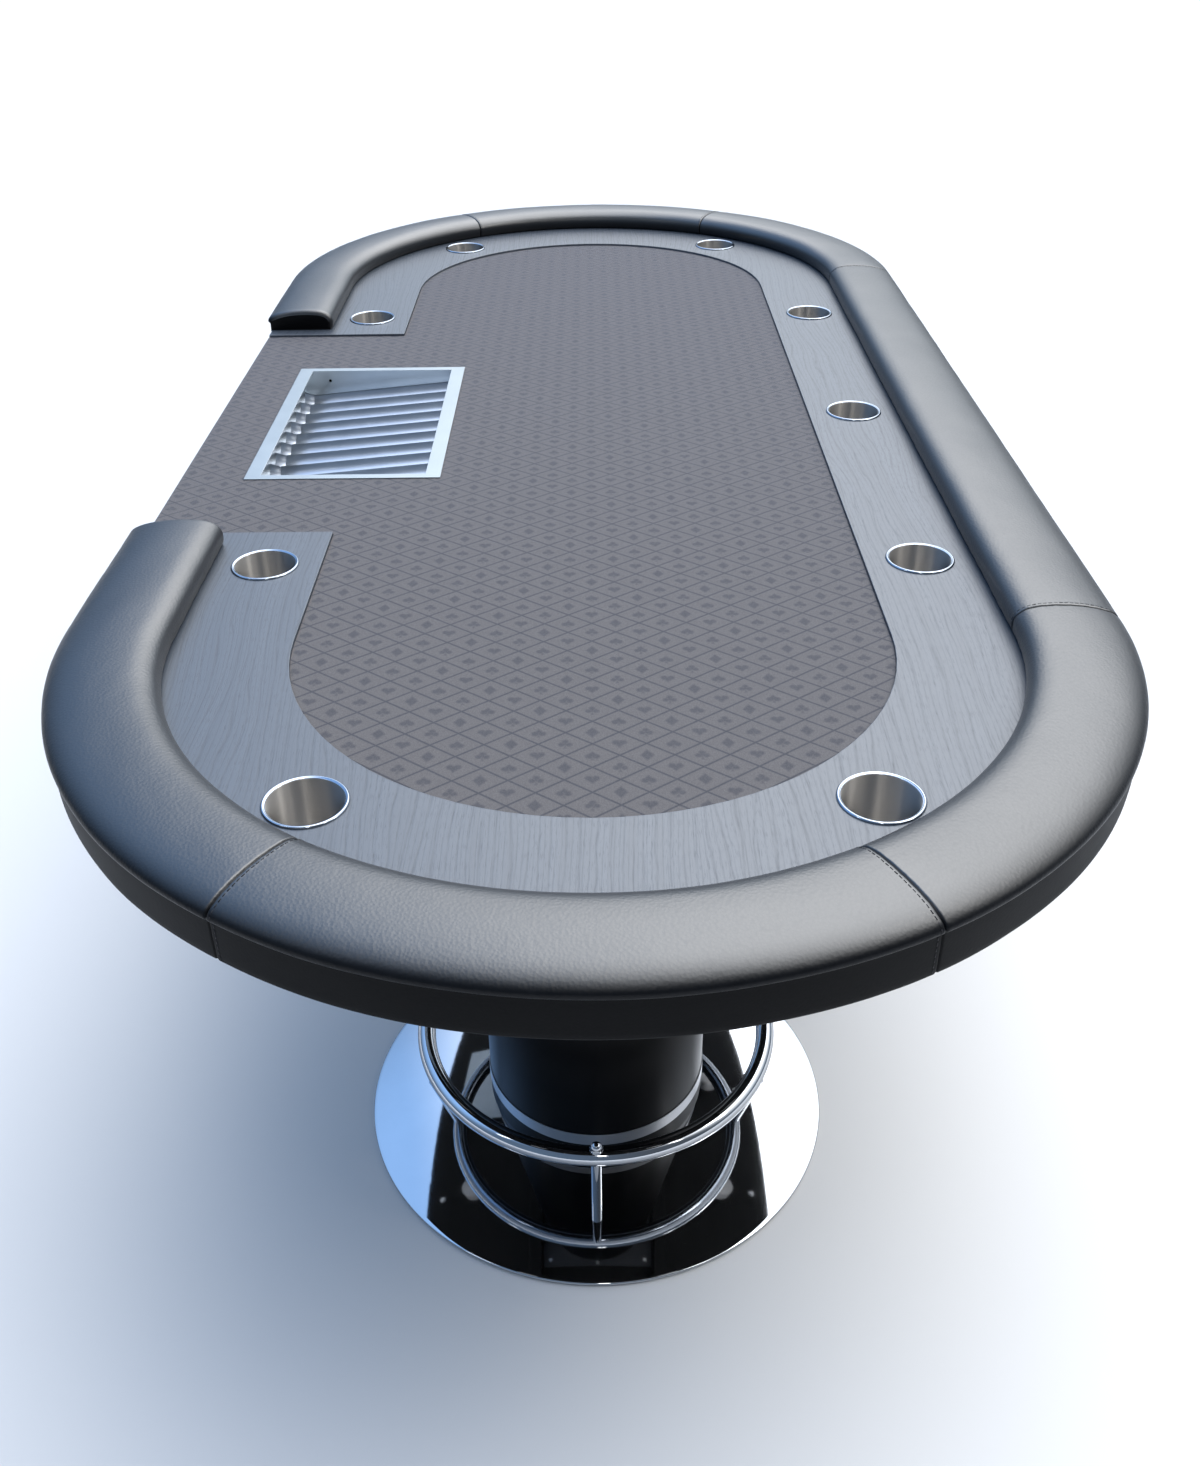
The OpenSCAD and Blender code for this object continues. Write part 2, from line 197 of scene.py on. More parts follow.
class Mat:
    def __init__(self, name, **values):
        self.m = bpy.data.materials.new(name)
        self.m.use_nodes = True
        self.t = self.m.node_tree
        self.b = self.t.nodes["Principled BSDF"]
        self.set(**values)
        self._pos = None

    def set(self, **values):
        names = {"base": "Base Color", "metal": "Metallic", "rough": "Roughness", "ior": "IOR",
                 "spec": "Specular IOR Level", "aniso": "Anisotropic", "arot": "Anisotropic Rotation",
                 "coat": "Coat Weight", "coat_rough": "Coat Roughness", "sheen": "Sheen Weight",
                 "sheen_rough": "Sheen Roughness", "sheen_tint": "Sheen Tint", "drough": "Diffuse Roughness",
                 "tint": "Specular Tint"}
        for k, v in values.items():
            s = self.b.inputs[names[k]]
            if isinstance(v, tuple):
                v = tuple(v) + (1.0,) if len(v) == 3 else v
            s.default_value = v

    def node(self, kind, **inputs):
        n = self.t.nodes.new(kind)
        for k, v in inputs.items():
            k = k.replace("_", " ")
            if hasattr(n, k.replace(" ", "_").lower()) and k.islower():
                setattr(n, k.replace(" ", "_"), v)
                continue
            s = n.inputs[k]
            if isinstance(v, X):
                v = v.v
            if isinstance(v, bpy.types.NodeSocket):
                self.t.links.new(v, s)
            else:
                s.default_value = v
        return n

    def pos(self):
        if self._pos is None:
            self._pos = self.t.nodes.new("ShaderNodeTexCoord").outputs["Object"]
        return self._pos

    def xyz(self):
        n = self.node("ShaderNodeSeparateXYZ", Vector=self.pos())
        return [X(self.t, n.outputs[i]) for i in range(3)]

    def vec(self, x, y, z):
        n = self.t.nodes.new("ShaderNodeCombineXYZ")
        for i, c in enumerate((x, y, z)):
            if isinstance(c, X):
                self.t.links.new(c.v, n.inputs[i])
            else:
                n.inputs[i].default_value = c
        return n.outputs[0]

    def scaled(self, sx, sy, sz):
        n = self.t.nodes.new("ShaderNodeVectorMath")
        n.operation = "MULTIPLY"
        self.t.links.new(self.pos(), n.inputs[0])
        n.inputs[1].default_value = (sx, sy, sz)
        return n.outputs[0]

    def noise(self, scale=1.0, detail=3.0, rough=0.5, distort=0.0, vector=None):
        n = self.node("ShaderNodeTexNoise", Scale=scale, Detail=detail, Roughness=rough, Distortion=distort,
                      Vector=vector or self.pos())
        return X(self.t, n.outputs["Fac"])

    def voronoi(self, scale=1.0, feature="F1", vector=None, rand=1.0):
        n = self.t.nodes.new("ShaderNodeTexVoronoi")
        n.feature = feature
        n.inputs["Scale"].default_value = scale
        n.inputs["Randomness"].default_value = rand
        self.t.links.new(vector or self.pos(), n.inputs["Vector"])
        return X(self.t, n.outputs["Distance"])

    def ramp(self, x, stops):
        n = self.t.nodes.new("ShaderNodeValToRGB")
        self.t.links.new(x.v, n.inputs[0])
        el = n.color_ramp.elements
        while len(el) < len(stops):
            el.new(0.5)
        for e, (p, c) in zip(el, stops):
            e.position = p
            e.color = tuple(c) + (1.0,) if len(c) == 3 else c
        return n.outputs[0]

    def mix(self, fac, a, b, kind="MIX"):
        n = self.t.nodes.new("ShaderNodeMix")
        n.data_type = "RGBA"
        n.blend_type = kind
        if isinstance(fac, X):
            self.t.links.new(fac.v, n.inputs[0])
        else:
            n.inputs[0].default_value = fac
        for s, v in ((n.inputs[6], a), (n.inputs[7], b)):
            if isinstance(v, bpy.types.NodeSocket):
                self.t.links.new(v, s)
            else:
                s.default_value = tuple(v) + (1.0,) if len(v) == 3 else v
        return n.outputs[2]

    def colour(self, c):
        self.t.links.new(c, self.b.inputs["Base Color"])

    def rough(self, x, lo, hi):
        """Roughness that varies between lo and hi with x."""
        self.t.links.new((x * (hi - lo) + lo).clamp().v, self.b.inputs["Roughness"])

    def bump(self, height, distance, strength=1.0, normal=None):
        """height is an X in 0..1, distance in metres."""
        n = self.t.nodes.new("ShaderNodeBump")
        n.inputs["Strength"].default_value = strength
        n.inputs["Distance"].default_value = distance
        self.t.links.new(height.v, n.inputs["Height"])
        if normal is not None:
            self.t.links.new(normal, n.inputs["Normal"])
        self.t.links.new(n.outputs[0], self.b.inputs["Normal"])
        return n.outputs[0]


M = {}

# ---------------------------------------------------------------- materials
# grained vinyl of the armrest
v = Mat("vinyl", rough=0.46, spec=1.0, ior=1.6)
cells = v.voronoi(330, "F1")
fine = v.noise(1500, 2, 0.6)
soft = v.noise(55, 3, 0.55)
wide = v.noise(6, 3, 0.5)
v.colour(v.mix(soft, (.0032, .0036, .0046), (.0056, .0062, .0076)))
v.rough(wide * 0.5 + cells * 0.5, 0.29, 0.42)
v.bump(cells * 0.75 + fine * 0.25, 0.00050, 0.36)
tuck = v.t.nodes.new("ShaderNodeAttribute")
tuck.attribute_name = "tuck"
v.t.links.new((1.0 - X(v.t, tuck.outputs["Fac"]) * 0.90).v, v.b.inputs["Specular IOR Level"])
M["vinyl"] = v.m
# the same vinyl stretched smooth over the edge; its base colour, about half the crown's, is painted shade of the
# near-vertical skirt
v = Mat("vinyl_skirt", rough=0.55, spec=0.09, ior=1.45)
cells = v.voronoi(380, "F1")
wide = v.noise(9, 3, 0.5)
# painted shade: the skirt's vinyl is coloured darker than the same vinyl on the crown
v.colour(v.mix(wide, (.0016, .0017, .0020), (.0028, .0029, .0033)))
v.rough(wide, 0.46, 0.58)
v.bump(cells, 0.00025, 0.25)
M["vinyl_skirt"] = v.m
# thread of the seams
v = Mat("thread", rough=0.6, spec=0.3)
tw = v.noise(2500, 2, 0.5)
v.colour(v.mix(tw, (.006, .006, .008), (.018, .018, .022)))
v.bump(tw, 0.0002, 0.5)
M["thread"] = v.m

# stained open-grain timber, grain along Y
w = Mat("stained_wood", rough=0.4, spec=0.72, ior=1.6)
px, py, pz = w.xyz()
bend = w.noise(1.0, 2, 0.5, 0.0, w.scaled(4.2, 1.1, 4.2))
bend2 = w.noise(1.0, 2, 0.5, 0.0, w.scaled(24.0, 5.5, 24.0))
ringx = px * 190.0 + bend * 24.0 + bend2 * 1.6
wide1 = w.noise(1.0, 2, 0.5, 0.0, w.vec(ringx * 0.35, py * 1.2, 0.0))
broken = w.noise(1.0, 3, 0.6, 0.0, w.vec(ringx * 1.0, py * 26.0, 0.0))
l1 = ((ringx.fract() - 0.5).abs()).step(0.10, 0.09)
l2 = (((ringx * 0.41 + bend2 * 1.3).fract() - 0.5).abs()).step(0.07, 0.06)
lines = ((l1 * 0.75).max(l2) * (broken * 1.9 - 0.35).clamp()).clamp()
pores = w.noise(1.0, 2, 0.6, 0.0, w.vec(px * 1250.0 + bend * 90.0, py * 70.0, 0.0))
pore = pores.step(0.40, 0.05) * (wide1 * 1.3 - 0.1).clamp()
speck = w.noise(900, 2, 0.7)
tone = (wide1 * 0.8 + speck * 0.35 - 0.1).clamp()
c = w.mix(tone, (.034, .044, .060), (.066, .082, .106))
c = w.mix(lines * 0.50, c, (.010, .014, .021))
c = w.mix(pore * 0.60, c, (.010, .014, .021))
w.colour(c)
w.rough((lines * 0.45 + pore * 0.45 + speck * 0.25).clamp(), 0.34, 0.62)
w.bump((0.75 - lines * 0.45 - pore * 0.35 + speck * 0.12).clamp(), 0.00025, 0.45)
M["stained_wood"] = w.m

# woven cloth with a lattice of diamonds and card suits
c = Mat("cloth", rough=0.78, spec=0.22, ior=1.45, sheen=0.34, sheen_rough=0.35, sheen_tint=(.75, .8, 1.0))
px, py, pz = c.xyz()
u, t = px / 0.0515, py / 0.0392
a, b = u + t, u - t
per = math.hypot(1 / 51.5, 1 / 39.2)
la = ((a + 0.5).fract() - 0.5).abs() / per
lb = ((b + 0.5).fract() - 0.5).abs() / per
line = la.min(lb).step(1.05, 0.6)
ia, ib = a.floor(), b.floor()
uc, tc = (ia + ib + 1.0) * 0.5, (ia - ib) * 0.5
dx, dy = (u - uc) * (51.5 / 1.36), (t - tc) * (39.2 / 1.36)
ax = dx.abs()
# four suits as distances in millimetres, negative inside
dia = ax * 0.80 + dy.abs() * 0.60 - 3.9
lobe = hyp(ax - 2.45, dy - 1.5) - 2.75
vee = (ax * 0.78 - dy * 0.62 - 2.95).max(dy - 1.7)
heart = lobe.min(vee)
lobe2 = hyp(ax - 2.45, dy + 1.2) - 2.75
vee2 = (ax * 0.78 + dy * 0.62 - 2.95).max(dy * -1.0 - 1.4)
stem = (ax - 0.9 + (dy + 5.6) * 0.22).max((dy + 3.4).abs() - 2.3)
spade = lobe2.min(vee2).min(stem)
club = (hyp(ax - 2.7, dy + 0.8) - 2.35).min(hyp(dx, dy - 2.7) - 2.35).min(stem).min(hyp(dx, dy) - 1.6)
pick = (ia + ib * 2.0).mod(4.0)
s0, s1, s2 = pick.lt(0.5), pick.lt(1.5), pick.lt(2.5)
pip = s0 * dia + (s1 - s0) * spade + (s2 - s1) * heart + (1.0 - s2) * club
pip = pip.step(0.0, 0.90)
warp = (px * (6.2832 / 0.00105)).sin()
weft = (py * (6.2832 / 0.00105)).sin()
weave = (warp * weft) * 0.5 + 0.5
fleck = c.noise(1.0, 2, 0.7, 0.0, c.scaled(900, 620, 300))
mottle = c.noise(26, 3, 0.6)
mark = (line * 0.85).max(pip * 0.62)
base = c.mix((fleck * 1.7 - 0.35).clamp(), (.078, .073, .074), (.140, .131, .130))
base = c.mix(mottle * 0.35, base, (.096, .091, .093))
dark = c.mix((fleck * 1.7 - 0.35).clamp(), (.028, .029, .037), (.058, .060, .070))
c.colour(c.mix(mark, base, dark))
c.bump(weave * 0.55 + fleck * 0.45, 0.00028, 0.5)
M["cloth"] = c.m

# foam under the vinyl and under the cloth
for name, c0, c1 in (("foam", (.60, .52, .28), (.80, .72, .45)), ("pad_foam", (.17, .17, .18), (.27, .27, .28))):
    f = Mat(name, rough=0.9, spec=0.2)
    n1 = f.noise(900, 3, 0.7)
    n2 = f.voronoi(700)
    f.colour(f.mix(n1 * 0.6 + n2 * 0.5, c0, c1))
    f.bump(n2, 0.0006, 0.8)
    M[name] = f.m

# near-black plywood: face grain along Y, layers on the edges
p = Mat("plywood", rough=0.62, spec=0.10)
px, py, pz = p.xyz()
g1 = p.noise(1.0, 4, 0.6, 0.6, p.scaled(34, 2.6, 34))
g2 = p.noise(1.0, 3, 0.6, 0.0, p.scaled(420, 9, 420))
ply = ((pz * (6.2832 / 0.0030)).sin() * 0.5 + 0.5)
geo = p.t.nodes.new("ShaderNodeNewGeometry")
nz = p.node("ShaderNodeSeparateXYZ", Vector=geo.outputs["True Normal"])
flat = X(p.t, nz.outputs[2]).abs().gt(0.5)
face = p.mix((g1 * 1.5 - 0.3).clamp(), (.0050, .0048, .0046), (.0110, .0105, .0100))
face = p.mix(g2 * 0.45, face, (.0035, .0034, .0033))
edge = p.mix(ply, (.0045, .0042, .0040), (.0130, .0120, .0110))
p.colour(p.mix(flat, edge, face))
p.bump(g2, 0.0004, 0.35)
M["plywood"] = p.m

# metals
m = Mat("cup_steel", base=(.66, .60, .53), metal=1.0, rough=0.44, aniso=1.0, arot=0.25)
px, py, pz = m.xyz()
br = m.noise(1.0, 3, 0.7, 0.0, m.vec(px * 25.0, py * 25.0, pz * 3800.0))
m.colour(m.mix(br, (.45, .43, .405), (.53, .505, .475)))
m.rough(br, 0.40, 0.48)
tan = m.t.nodes.new("ShaderNodeTangent")
tan.direction_type = "RADIAL"
tan.axis = "Z"
m.t.links.new(tan.outputs[0], m.b.inputs["Tangent"])
M["cup_steel"] = m.m
m = Mat("cup_flange", base=(.82, .86, .92), metal=1.0, rough=0.12)
n1 = m.noise(160, 3, 0.6)
m.colour(m.mix(n1, (.33, .37, .43), (.41, .45, .51)))
m.rough(n1, 0.09, 0.18)
M["cup_flange"] = m.m

m = Mat("tray_aluminium", base=(.40, .43, .45), metal=1.0, rough=0.32)
n1 = m.noise(1.0, 3, 0.6, 0.0, m.scaled(1400, 30, 1400))
n2 = m.noise(30, 3, 0.6)
m.colour(m.mix(n2, (.36, .40, .42), (.42, .46, .48)))
m.rough(n1 * 0.6 + n2 * 0.4, 0.26, 0.42)
m.bump(n1, 0.00005, 0.35)
M["tray_aluminium"] = m.m
m = Mat("rack_aluminium", base=(.62, .66, .74), metal=1.0, rough=0.30)
n1 = m.noise(1.0, 3, 0.6, 0.0, m.scaled(22, 900, 900))
n2 = m.noise(25, 3, 0.6)
m.colour(m.mix(n2, (.40, .43, .49), (.52, .56, .62)))
m.rough(n1 * 0.6 + n2 * 0.4, 0.22, 0.40)
m.bump(n1, 0.00005, 0.35)
M["rack_aluminium"] = m.m

m = Mat("fastener_steel", base=(.60, .60, .58), metal=1.0, rough=0.35)
n1 = m.noise(400, 3, 0.6)
m.colour(m.mix(n1, (.52, .52, .50), (.70, .69, .66)))
m.rough(n1, 0.28, 0.5)
m.bump(n1, 0.0001, 0.3)
M["fastener_steel"] = m.m

for name, r0, r1 in (("chrome_disc", 0.025, 0.06), ("chrome_tube", 0.03, 0.08)):
    m = Mat(name, base=(.80, .82, .85), metal=1.0, rough=0.04)
    n1 = m.noise(14, 4, 0.6)
    n2 = m.noise(260, 3, 0.6)
    m.colour(m.mix(n1, (.50, .52, .55), (.56, .58, .61)))
    m.rough(n1 * 0.5 + n2 * 0.5, r0, r1)
    m.bump(n1, 0.0003, 0.10)
    M[name] = m.m

m = Mat("band_steel", base=(.70, .70, .70), metal=1.0, rough=0.3, aniso=0.6)
px, py, pz = m.xyz()
br = m.noise(1.0, 3, 0.7, 0.0, m.vec(px * 20.0, py * 20.0, pz * 4200.0))
m.colour(m.mix(br, (.44, .445, .46), (.58, .585, .60)))
m.rough(br, 0.24, 0.40)
tan = m.t.nodes.new("ShaderNodeTangent")
tan.direction_type = "RADIAL"
tan.axis = "Z"
m.t.links.new(tan.outputs[0], m.b.inputs["Tangent"])
M["band_steel"] = m.m

for name, c0, c1, r0, r1 in (("column_black", (.0010, .0010, .0012), (.0018, .0018, .0022), 0.26, 0.36),
                             ("plate_black", (.020, .020, .021), (.034, .034, .036), 0.45, 0.6)):
    m = Mat(name, rough=0.3, spec=0.12 if name == "column_black" else 0.3)
    n1 = m.noise(700, 3, 0.6)
    n2 = m.noise(9, 3, 0.6)
    m.colour(m.mix(n2, c0, c1))
    m.rough(n2 * 0.6 + n1 * 0.4, r0, r1)
    m.bump(n1, 0.00012, 0.25)
    M[name] = m.m

m = Mat("rubber_pad", rough=0.8, spec=0.3)
n1 = m.noise(600, 3, 0.7)
m.colour(m.mix(n1, (.018, .018, .018), (.036, .036, .035)))
m.bump(n1, 0.0003, 0.5)
M["rubber_pad"] = m.m
m = Mat("ballast_iron", rough=0.75, spec=0.4, metal=0.6)
n1 = m.noise(220, 4, 0.7)
m.colour(m.mix(n1, (.09, .085, .08), (.20, .19, .18)))
m.bump(n1, 0.0008, 0.7)
M["ballast_iron"] = m.m

# ---------------------------------------------------------------- CAD nodes keep their shape, get their finish
for name, o in NODES.items():
    o.data.materials.clear()
    o.data.materials.append(M[SLOT[name]])


def soften(name, width, angle=30, segs=2):
    """A fine bevel on a CAD node's edges; the CAD mesh itself is not touched."""
    o = NODES[name]
    wd = o.modifiers.new("weld", "WELD")
    wd.merge_threshold = 0.00002
    bv = o.modifiers.new("bevel", "BEVEL")
    bv.width = width
    bv.segments = segs
    bv.limit_method = "ANGLE"
    bv.angle_limit = math.radians(angle)
    bv.use_clamp_overlap = True
    bv.harden_normals = False


soften("tray_frame", 0.0004)
soften("deck", 0.0008)
soften("stringers", 0.002)
soften("racetrack", 0.0006)
for s in ("near", "far"):
    soften("top_plate_" + s, 0.0008)

# ---------------------------------------------------------------- armrest
RM = 0.5
LS, LA, LR = END_Y - GAP_RAIL, math.pi * RM, 2 * END_Y
S1, S2, S3, S4, S5 = LS, LS + LA, LS + LA + LR, LS + 2 * LA + LR, 2 * LS + 2 * LA + LR


def station(s):
    """(centre x, centre y, angle of the outward direction) at a distance s along the armrest."""
    if s <= S1:
        return 0.0, -GAP_RAIL - s, math.pi
    if s <= S2:
        return 0.0, -END_Y, math.pi + (s - S1) / RM
    if s <= S3:
        return 0.0, -END_Y + (s - S2), 0.0
    if s <= S4:
        return 0.0, END_Y, (s - S3) / RM
    return 0.0, END_Y - (s - S4), math.pi


def place(s, r, z):
    cx, cy, a = station(s)
    return (cx + r * math.cos(a), cy + r * math.sin(a), TOP + z)


# outer skin of the section: (r, z above the racetrack), from the foot over the crown to the crease
PILLOW = (bez((.4492, .0004), (.4464, .0016), (.4448, .0075), (.4450, .0140), 7)
          + bez((.4450, .0140), (.4453, .0236), (.4545, .0318), (.4720, .0336), 12)
          + bez((.4720, .0336), (.4800, .0343), (.4880, .0345), (.4960, .0343), 5)
          + bez((.4960, .0343), (.5150, .0338), (.5330, .0312), (.5455, .0260), 9)
          + bez((.5455, .0260), (.5530, .0228), (.5571, .0195), (.5571, .0158), 7)
          + bez((.5571, .0158), (.5571, .0138), (.5562, .0127), (.5546, .0120), 4))
SKIRT = [(.5540, .0114), (.5539, .0100), (.5540, .0070), (.5541, .0020), (.5542, -.0040), (.5542, -.0110),
         (.5542, -.0180), (.5542, -.0240), (.5540, -.0285), (.5534, -.0305), (.5526, -.0311)]
NP, NS = len(PILLOW), len(SKIRT)
SECTION = PILLOW + SKIRT
NORMALS, ALONG = [], [0.0]
for i, (r, z) in enumerate(SECTION):
    p0, p1 = SECTION[max(i - 1, 0)], SECTION[min(i + 1, len(SECTION) - 1)]
    d = Vector((p1[0] - p0[0], p1[1] - p0[1])).normalized()
    NORMALS.append((-d.y, d.x))
    if i:
        q = SECTION[i - 1]
        ALONG.append(ALONG[-1] + math.hypot(r - q[0], z - q[1]))
# how much a point gives way to a pull of the stitching: the cushion does, the skirt hardly
GIVE = [1.0 if i < NP - 4 else 0.35 for i in range(len(SECTION))]
GIVE[0], GIVE[1] = 0.3, 0.7
SKIN = 0.0014
HALF = math.radians(1)

SEAMS = [("near_left", S1 + math.radians(57) * RM, 1), ("near_right", S1 + math.radians(119) * RM, -1),
         ("right_near", S2, 1), ("right_far", S3, -1),
         ("far_right", S3 + math.radians(59) * RM, 1), ("far_left", S3 + math.radians(121) * RM, -1)]
PANELS = [("rail_cover_near_left", 0.0, SEAMS[0][1]), ("rail_cover_near_end", SEAMS[0][1], SEAMS[1][1]),
          ("rail_cover_near_right", SEAMS[1][1], SEAMS[2][1]), ("rail_cover_long_side", SEAMS[2][1], SEAMS[3][1]),
          ("rail_cover_far_right", SEAMS[3][1], SEAMS[4][1]), ("rail_cover_far_end", SEAMS[4][1], SEAMS[5][1]),
          ("rail_cover_far_left", SEAMS[5][1], S5)]
END_R = 0.0075


def wobble(s, i):
    """Slow unevenness of a hand-pulled cover, metres, outward."""
    r, z = SECTION[i]
    p = Vector((s * 9.0, ALONG[i] * 22.0, 3.1))
    q = Vector((s * 34.0, ALONG[i] * 60.0, 7.7))
    k = noise.noise(p) * 0.00055 + noise.noise(q) * 0.00016
    if i < 6:      # the foot is stapled every few centimetres
        k += 0.00035 * math.sin(s * 2 * math.pi / 0.034 + 2 * math.sin(s * 7)) * (1 - i / 6)
    if i >= NP:
        k = 0.7 * k + 0.0003 * math.sin(s * 2 * math.pi / 0.21 + ALONG[i] * 40) * (i - NP) / NS
    return k


def stations(a, b, free_a, free_b):
    """Distances of the rings of one panel, closer together at its ends."""
    def side(free):
        xs = [0.0, .0004, .0008, .0012, .0017, .0024, .0033, .0045, .0060, .0080, .0105, .0140, .0185, .0240, .0300]
        if free:
            xs = [END_R * (1 - math.cos(k * math.pi / 2 / 9)) for k in range(10)] + [.0100, .0135, .0180, .0240, .0300]
        return xs
    lo, hi = side(free_a), side(free_b)
    n = max(2, round((b - a - lo[-1] - hi[-1]) / 0.008))
    mid = [a + lo[-1] + (b - a - lo[-1] - hi[-1]) * k / n for k in range(1, n)]
    return [a + x for x in lo] + mid + [b - x for x in reversed(hi)]


def ring(s, a, b, free_a, free_b, side_a, side_b, inset=0.0):
    """Points of the outer skin at s for the panel from a to b."""
    pts = []
    for i, ((r, z), (nr, nz)) in enumerate(zip(SECTION, NORMALS)):
        off = wobble(s, i) - inset
        for x, free, side in ((s - a, free_a, side_a), (b - s, free_b, side_b)):
            if free:
                if x < END_R:
                    off -= (END_R - math.sqrt(max(0.0, END_R**2 - (END_R - x)**2))) * GIVE[i]
                off -= 0.0010 * math.exp(-(x / 0.030)) * math.sin(math.pi * min(1, ALONG[i] / ALONG[NP - 1])) * GIVE[i]
            elif x < 0.06:
                g = GIVE[i]
                off -= g * (0.0024 * math.exp(-(x / 0.0010)**2) + 0.0005 * math.exp(-x / 0.011))
                if side > 0:
                    off += 0.00022 * math.exp(-((x - 0.0034) / 0.0016)**2) * max(g, 0.5)
                off += g * 0.00022 * math.exp(-x / 0.010) * math.sin(ALONG[i] * 2 * math.pi / 0.0150 + (a + b) * 20)
        pts.append((r + nr * off, z + nz * off))
    return pts


SECTION_CENTRE = (0.5015, 0.0150)


def ease(x):
    x = max(0.0, min(1.0, x))
    return x * x * (3.0 - 2.0 * x)


# how far each point of the section is turned under, 0 on the crown and 1 below it
TUCK = [ease((0.0315 - z) / 0.0125) if r > 0.50 else 0.7 * ease((0.024 - z) / 0.016) for r, z in SECTION]
covers = []
for name, a, b in PANELS:
    free_a, free_b = a == 0.0, b == S5
    side_a = next((sd for n, s, sd in SEAMS if abs(s - a) < 1e-9), 0)
    side_b = -next((sd for n, s, sd in SEAMS if abs(s - b) < 1e-9), 0)
    verts, faces, fm, seam, tucked = [], [], [], [], []
    ss = stations(a, b, free_a, free_b)
    n = len(SECTION)
    for s in ss:
        pts = ring(s, a, b, free_a, free_b, side_a, side_b)
        inner = [(r - nr * SKIN, z - nz * SKIN) for (r, z), (nr, nz) in zip(pts, NORMALS)]
        # inner skin of the crease and skirt stays behind the outer one
        for r, z in pts:
            verts.append(place(s, r, z))
        for r, z in inner:
            verts.append(place(s, r, z))
        seam += [min(s - a, b - s)] * (2 * n)
        tucked += TUCK * 2
    for k in range(len(ss) - 1):
        p, q = k * 2 * n, (k + 1) * 2 * n
        for i in range(n - 1):
            faces.append((p + i, p + i + 1, q + i + 1, q + i))
            fm.append(1 if i >= NP - 1 else 0)
            faces.append((p + n + i + 1, p + n + i, q + n + i, q + n + i + 1))
            fm.append(1 if i >= NP - 1 else 0)
        faces.append((p, q, q + n, p + n))
        fm.append(0)
        faces.append((p + n - 1, p + 2 * n - 1, q + 2 * n - 1, q + n - 1))
        fm.append(1)
    # closed ends: turned-in edge at a seam, a sewn end face at the dealer's gap
    for base, free, sgn, at in ((0, free_a, -1, ss[0]), ((len(ss) - 1) * 2 * n, free_b, 1, ss[-1])):
        for i in range(n - 1):
            if free and i < NP + 2:
                continue
            faces.append((base + i, base + n + i, base + n + i + 1, base + i + 1))
            fm.append(1 if i >= NP - 1 else 0)
        if free:
            loop = list(range(base, base + NP + 3))
            cr, cz = SECTION_CENTRE
            pts = ring(at, a, b, free_a, free_b, side_a, side_b)[:NP + 3]
            pts.append((pts[-1][0], 0.0004))
            loop.append(len(verts))
            verts.append(place(at, pts[-1][0], 0.0004))
            seam.append(0.02)
            prev = loop
            for sc in (0.93, 0.80, 0.60, 0.35, 0.12):
                row = []
                bulge = sgn * 0.0022 * (1 - sc**2.2)
                cx, cy, ang = station(at)
                for r, z in pts:
                    rr, zz = cr + (r - cr) * sc, cz + (z - cz) * sc
                    row.append(len(verts))
                    x0, y0, z0 = place(at, rr, zz)
                    verts.append((x0, y0 - bulge * (1 if at > 1 else 1), z0))
                    seam.append(0.02)
                for i in range(len(prev)):
                    j = (i + 1) % len(prev)
                    faces.append((prev[i], prev[j], row[j], row[i]))
                    fm.append(1)
                prev = row
            faces.append(tuple(prev))
            fm.append(1)
    o = make(name + "_skin", verts, faces, mats=(M["vinyl"], M["vinyl_skirt"]), face_mats=fm, slot="vinyl")
    attribute(o, "seam", seam)
    attribute(o, "tuck", tucked + [1.0] * (len(verts) - len(tucked)))
    sharp(o, 60)
    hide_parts(name)
    covers.append(o)

# stitches: short raised dashes beside each seam
for name, s0, side in SEAMS:
    verts, faces = [], []
    x = side * 0.0044
    total = ALONG[-2]
    d = 0.004
    while d < total:
        pts = []
        for e in (0.0, 0.0036):
            k = max(i for i in range(len(ALONG)) if ALONG[i] <= d + e or i == 0)
            k = min(k, len(ALONG) - 2)
            f = (d + e - ALONG[k]) / (ALONG[k + 1] - ALONG[k])
            r = SECTION[k][0] * (1 - f) + SECTION[k + 1][0] * f
            z = SECTION[k][1] * (1 - f) + SECTION[k + 1][1] * f
            off = wobble(s0 + x, k) - 0.00022 * GIVE[k]
            pts.append((r + NORMALS[k][0] * off, z + NORMALS[k][1] * off, NORMALS[k]))
        b0 = len(verts)
        for (r, z, nn), grow in zip((pts[0], pts[0], pts[1], pts[1]), (0.0, 0.00026, 0.00026, 0.0)):
            for dxs in (-0.00036, 0.00036):
                verts.append(place(s0 + x + dxs, r + nn[0] * grow, z + nn[1] * grow))
        for k in range(3):
            faces.append((b0 + 2 * k, b0 + 2 * k + 1, b0 + 2 * k + 3, b0 + 2 * k + 2))
        faces.append((b0, b0 + 2, b0 + 4, b0 + 6))
        faces.append((b0 + 1, b0 + 7, b0 + 5, b0 + 3))
        faces.append((b0, b0 + 6, b0 + 7, b0 + 1))
        d += 0.0056
    make("stitches_" + name, verts, faces, mats=(M["thread"],), slot="vinyl")

